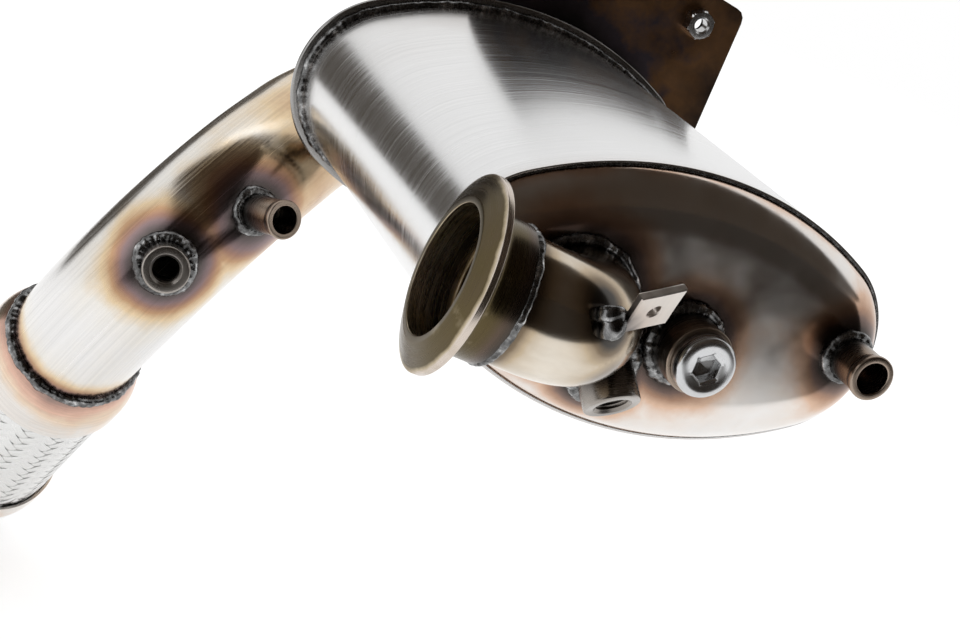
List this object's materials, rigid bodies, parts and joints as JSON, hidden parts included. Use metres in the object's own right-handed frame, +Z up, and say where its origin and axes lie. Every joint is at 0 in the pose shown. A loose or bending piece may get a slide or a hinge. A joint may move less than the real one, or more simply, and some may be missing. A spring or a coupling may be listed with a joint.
{
  "type": "diesel particulate filter",
  "caption": "Oval stainless diesel particulate filter can with a tight inlet elbow and V-band flange, sensor bungs, pressure stubs, a sheet bracket, a bent outlet pipe and a braided coupling",
  "frame": {"origin": "centre of the inlet flange's mouth", "axes": "+Z up across the oval's short axis, +Y along the can from the inlet cap to the outlet cap, +X across the oval's long axis away from the inlet"},
  "size_m": [0.3028, 0.4637, 0.4561],
  "materials": {
    "brushed_stainless": "brushed",
    "oxidised_stainless": "heat-tinted satin",
    "bright_fitting": "turned, lightly tinted",
    "zinc_plated": "bright zinc",
    "weld_metal": "as welded",
    "tinted_bracket": "dark heat tint",
    "tinted_sleeve": "pink and straw heat tint",
    "braid_wire": "woven wire",
    "thin_stainless": "bright",
    "filter_ceramic": "porous",
    "mat_fibre": "fibrous"
  },
  "bodies": {
    "root": {"canister_shell": "brushed_stainless", "inlet_cap": "oxidised_stainless", "inlet_cap_weld": "weld_metal", "filter_brick": "filter_ceramic", "filter_mat": "mat_fibre", "inlet_elbow": "oxidised_stainless", "inlet_elbow_weld": "weld_metal", "inlet_flange": "oxidised_stainless", "inlet_flange_weld": "weld_metal", "sensor_boss": "oxidised_stainless", "sensor_boss_weld": "weld_metal", "blanking_plug": "zinc_plated", "inlet_temperature_bung": "bright_fitting", "inlet_temperature_bung_weld": "weld_metal", "inlet_pressure_stub": "bright_fitting", "inlet_pressure_stub_weld": "weld_metal", "cable_tab": "bright_fitting", "cable_tab_weld": "weld_metal", "outlet_cap": "oxidised_stainless", "outlet_cap_weld": "weld_metal", "outlet_pipe": "brushed_stainless", "outlet_pipe_weld": "weld_metal", "outlet_temperature_bung": "bright_fitting", "outlet_temperature_bung_weld": "weld_metal", "outlet_pressure_stub": "bright_fitting", "outlet_pressure_stub_weld": "weld_metal", "mounting_bracket": "tinted_bracket", "mounting_bracket_weld": "weld_metal", "bracket_nut": "bright_fitting", "flex_front_weld": "weld_metal", "flex_front_sleeve": "tinted_sleeve", "flex_braid": "braid_wire", "flex_bellows": "thin_stainless", "flex_liner": "thin_stainless", "flex_rear_sleeve": "tinted_sleeve", "flex_rear_weld": "weld_metal", "tail_pipe": "brushed_stainless"}
  },
  "joints": []
}
